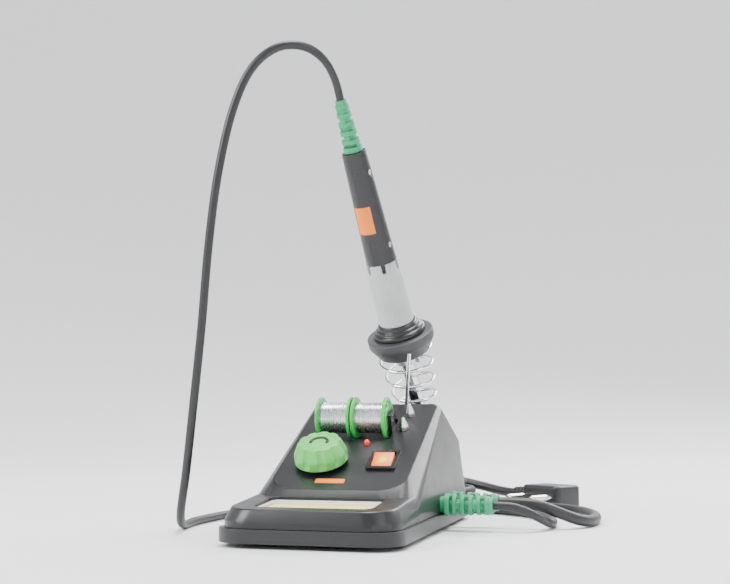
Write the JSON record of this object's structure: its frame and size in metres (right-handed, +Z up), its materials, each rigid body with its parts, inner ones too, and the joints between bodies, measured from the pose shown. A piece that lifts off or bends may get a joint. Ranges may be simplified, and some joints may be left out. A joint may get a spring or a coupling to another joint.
{
  "type": "soldering iron station",
  "caption": "Bench soldering station: sloped base with a control panel, solder spools, sponge tray, spring holder and corded iron.",
  "frame": {"origin": "middle of the base's footprint, on the surface that it stands on", "axes": "+X to the right across the panel, +Y from the front edge to the back, +Z up"},
  "size_m": [0.2121, 0.305, 0.2458],
  "materials": {
    "housing_black": "satin moulded plastic with a fine texture",
    "cover_black": "matt moulded plastic",
    "panel_black": "satin moulded plastic",
    "foot_rubber": "matt rubber",
    "screw_steel": "zinc-plated",
    "ballast_steel": "grey primer",
    "label_orange": "printed, satin",
    "light_red": "clear red lens",
    "switch_black": "glossy",
    "rocker_orange": "translucent, lit from inside",
    "board_green": "solder mask",
    "capacitor_red": "dipped",
    "chip_black": "moulded",
    "sink_aluminium": "extruded",
    "terminal_white": "moulded",
    "pot_steel": "plated",
    "axle_steel": "polished rod",
    "clamp_black": "moulded",
    "holder_grey": "heat-proof moulding, matt",
    "coil_chrome": "bright-plated wire",
    "relief_green": "soft moulding",
    "knob_green": "satin moulded plastic",
    "spool_green": "slightly translucent plastic",
    "solder_silver": "wound solder wire",
    "tray_white": "glossy moulding",
    "sponge_yellow": "open-celled cellulose sponge",
    "tip_brass": "plated copper, warm",
    "ferrule_copper": "heat-tinted",
    "barrel_steel": "polished tube",
    "element_ceramic": "unglazed",
    "nut_steel": "plated",
    "flange_black": "heat-proof moulding",
    "grip_grey": "soft-touch sleeve",
    "handle_black": "satin moulded plastic",
    "cord_black": "soft sheath",
    "plug_black": "moulded",
    "pin_nickel": "nickel-plated"
  },
  "bodies": {
    "base": {"bottom_cover": "cover_black", "rubber_feet": "foot_rubber", "cover_screws": "screw_steel", "ballast_plate": "ballast_steel", "upper_housing": "housing_black", "control_panel": "panel_black", "label_bar": "label_orange", "indicator_light": "light_red", "switch_frame": "switch_black", "circuit_board": "board_green", "capacitor": "capacitor_red", "triac": "chip_black", "heat_sink": "sink_aluminium", "terminal_block": "terminal_white", "potentiometer": "pot_steel", "cord_clamps": "clamp_black", "spool_axle": "axle_steel", "holder_foot": "holder_grey", "holder_coil": "coil_chrome", "holder_ring": "holder_grey", "holder_stay": "coil_chrome", "mains_relief": "relief_green", "lead_relief": "relief_green", "iron_lead": "cord_black", "mains_lead": "cord_black", "mains_coil": "cord_black", "cord_tie": "clamp_black", "plug_body": "plug_black", "plug_pins": "pin_nickel"},
    "dial": {"knob_shaft": "axle_steel", "temperature_knob": "knob_green"},
    "rocker": {"switch_rocker": "rocker_orange"},
    "left_spool": {"spool_1": "spool_green", "solder_1": "solder_silver"},
    "right_spool": {"spool_2": "spool_green", "solder_2": "solder_silver"},
    "front_spare_tip": {"spare_tip_1": "barrel_steel"},
    "rear_spare_tip": {"spare_tip_2": "barrel_steel"},
    "tray": {"sponge_tray": "tray_white"},
    "wiping_sponge": {"sponge": "sponge_yellow"},
    "iron": {"iron_tip": "tip_brass", "tip_ferrule": "ferrule_copper", "heater_barrel": "barrel_steel", "heating_element": "element_ceramic", "barrel_nut": "nut_steel", "front_collar": "flange_black", "heat_flange": "flange_black", "grip_sleeve": "grip_grey", "handle_left": "handle_black", "handle_right": "handle_black", "handle_screws": "screw_steel", "handle_label": "label_orange", "iron_relief": "relief_green"}
  },
  "joints": [
    {"name": "knob_turn", "type": "hinge", "parent": "base", "child": "dial", "pos_m": [-0.013, -0.02207, 0.03929], "axis": [0, -0.4384, 0.8988], "range_deg": [-135, 135]},
    {"name": "switch_press", "type": "hinge", "parent": "base", "child": "rocker", "pos_m": [0.0185, -0.01544, 0.0314], "axis": [1, 0, 0], "range_deg": [-24, 0]},
    {"name": "left_spool_spin", "type": "hinge", "parent": "base", "child": "left_spool", "pos_m": [-0.005, 0.01143, 0.05729], "axis": [1, 0, 0], "continuous": true},
    {"name": "right_spool_spin", "type": "hinge", "parent": "base", "child": "right_spool", "pos_m": [-0.005, 0.01143, 0.05729], "axis": [1, 0, 0], "continuous": true},
    {"name": "front_spare_tip_lift", "type": "slide", "parent": "base", "child": "front_spare_tip", "axis": [0, -0.4384, 0.8988], "range_m": [0, 0.02]},
    {"name": "rear_spare_tip_lift", "type": "slide", "parent": "base", "child": "rear_spare_tip", "axis": [0, -0.4384, 0.8988], "range_m": [0, 0.02]},
    {"name": "tray_lift", "type": "slide", "parent": "base", "child": "tray", "axis": [0, -0.0698, 0.9976], "range_m": [0, 0.02]},
    {"name": "sponge_lift", "type": "slide", "parent": "tray", "child": "wiping_sponge", "axis": [0, -0.0698, 0.9976], "range_m": [0, 0.015]},
    {"name": "iron_withdraw", "type": "slide", "parent": "base", "child": "iron", "axis": [-0.1197, -0.4698, 0.8746], "range_m": [0, 0.09], "deforming": ["iron_lead"]}
  ]
}
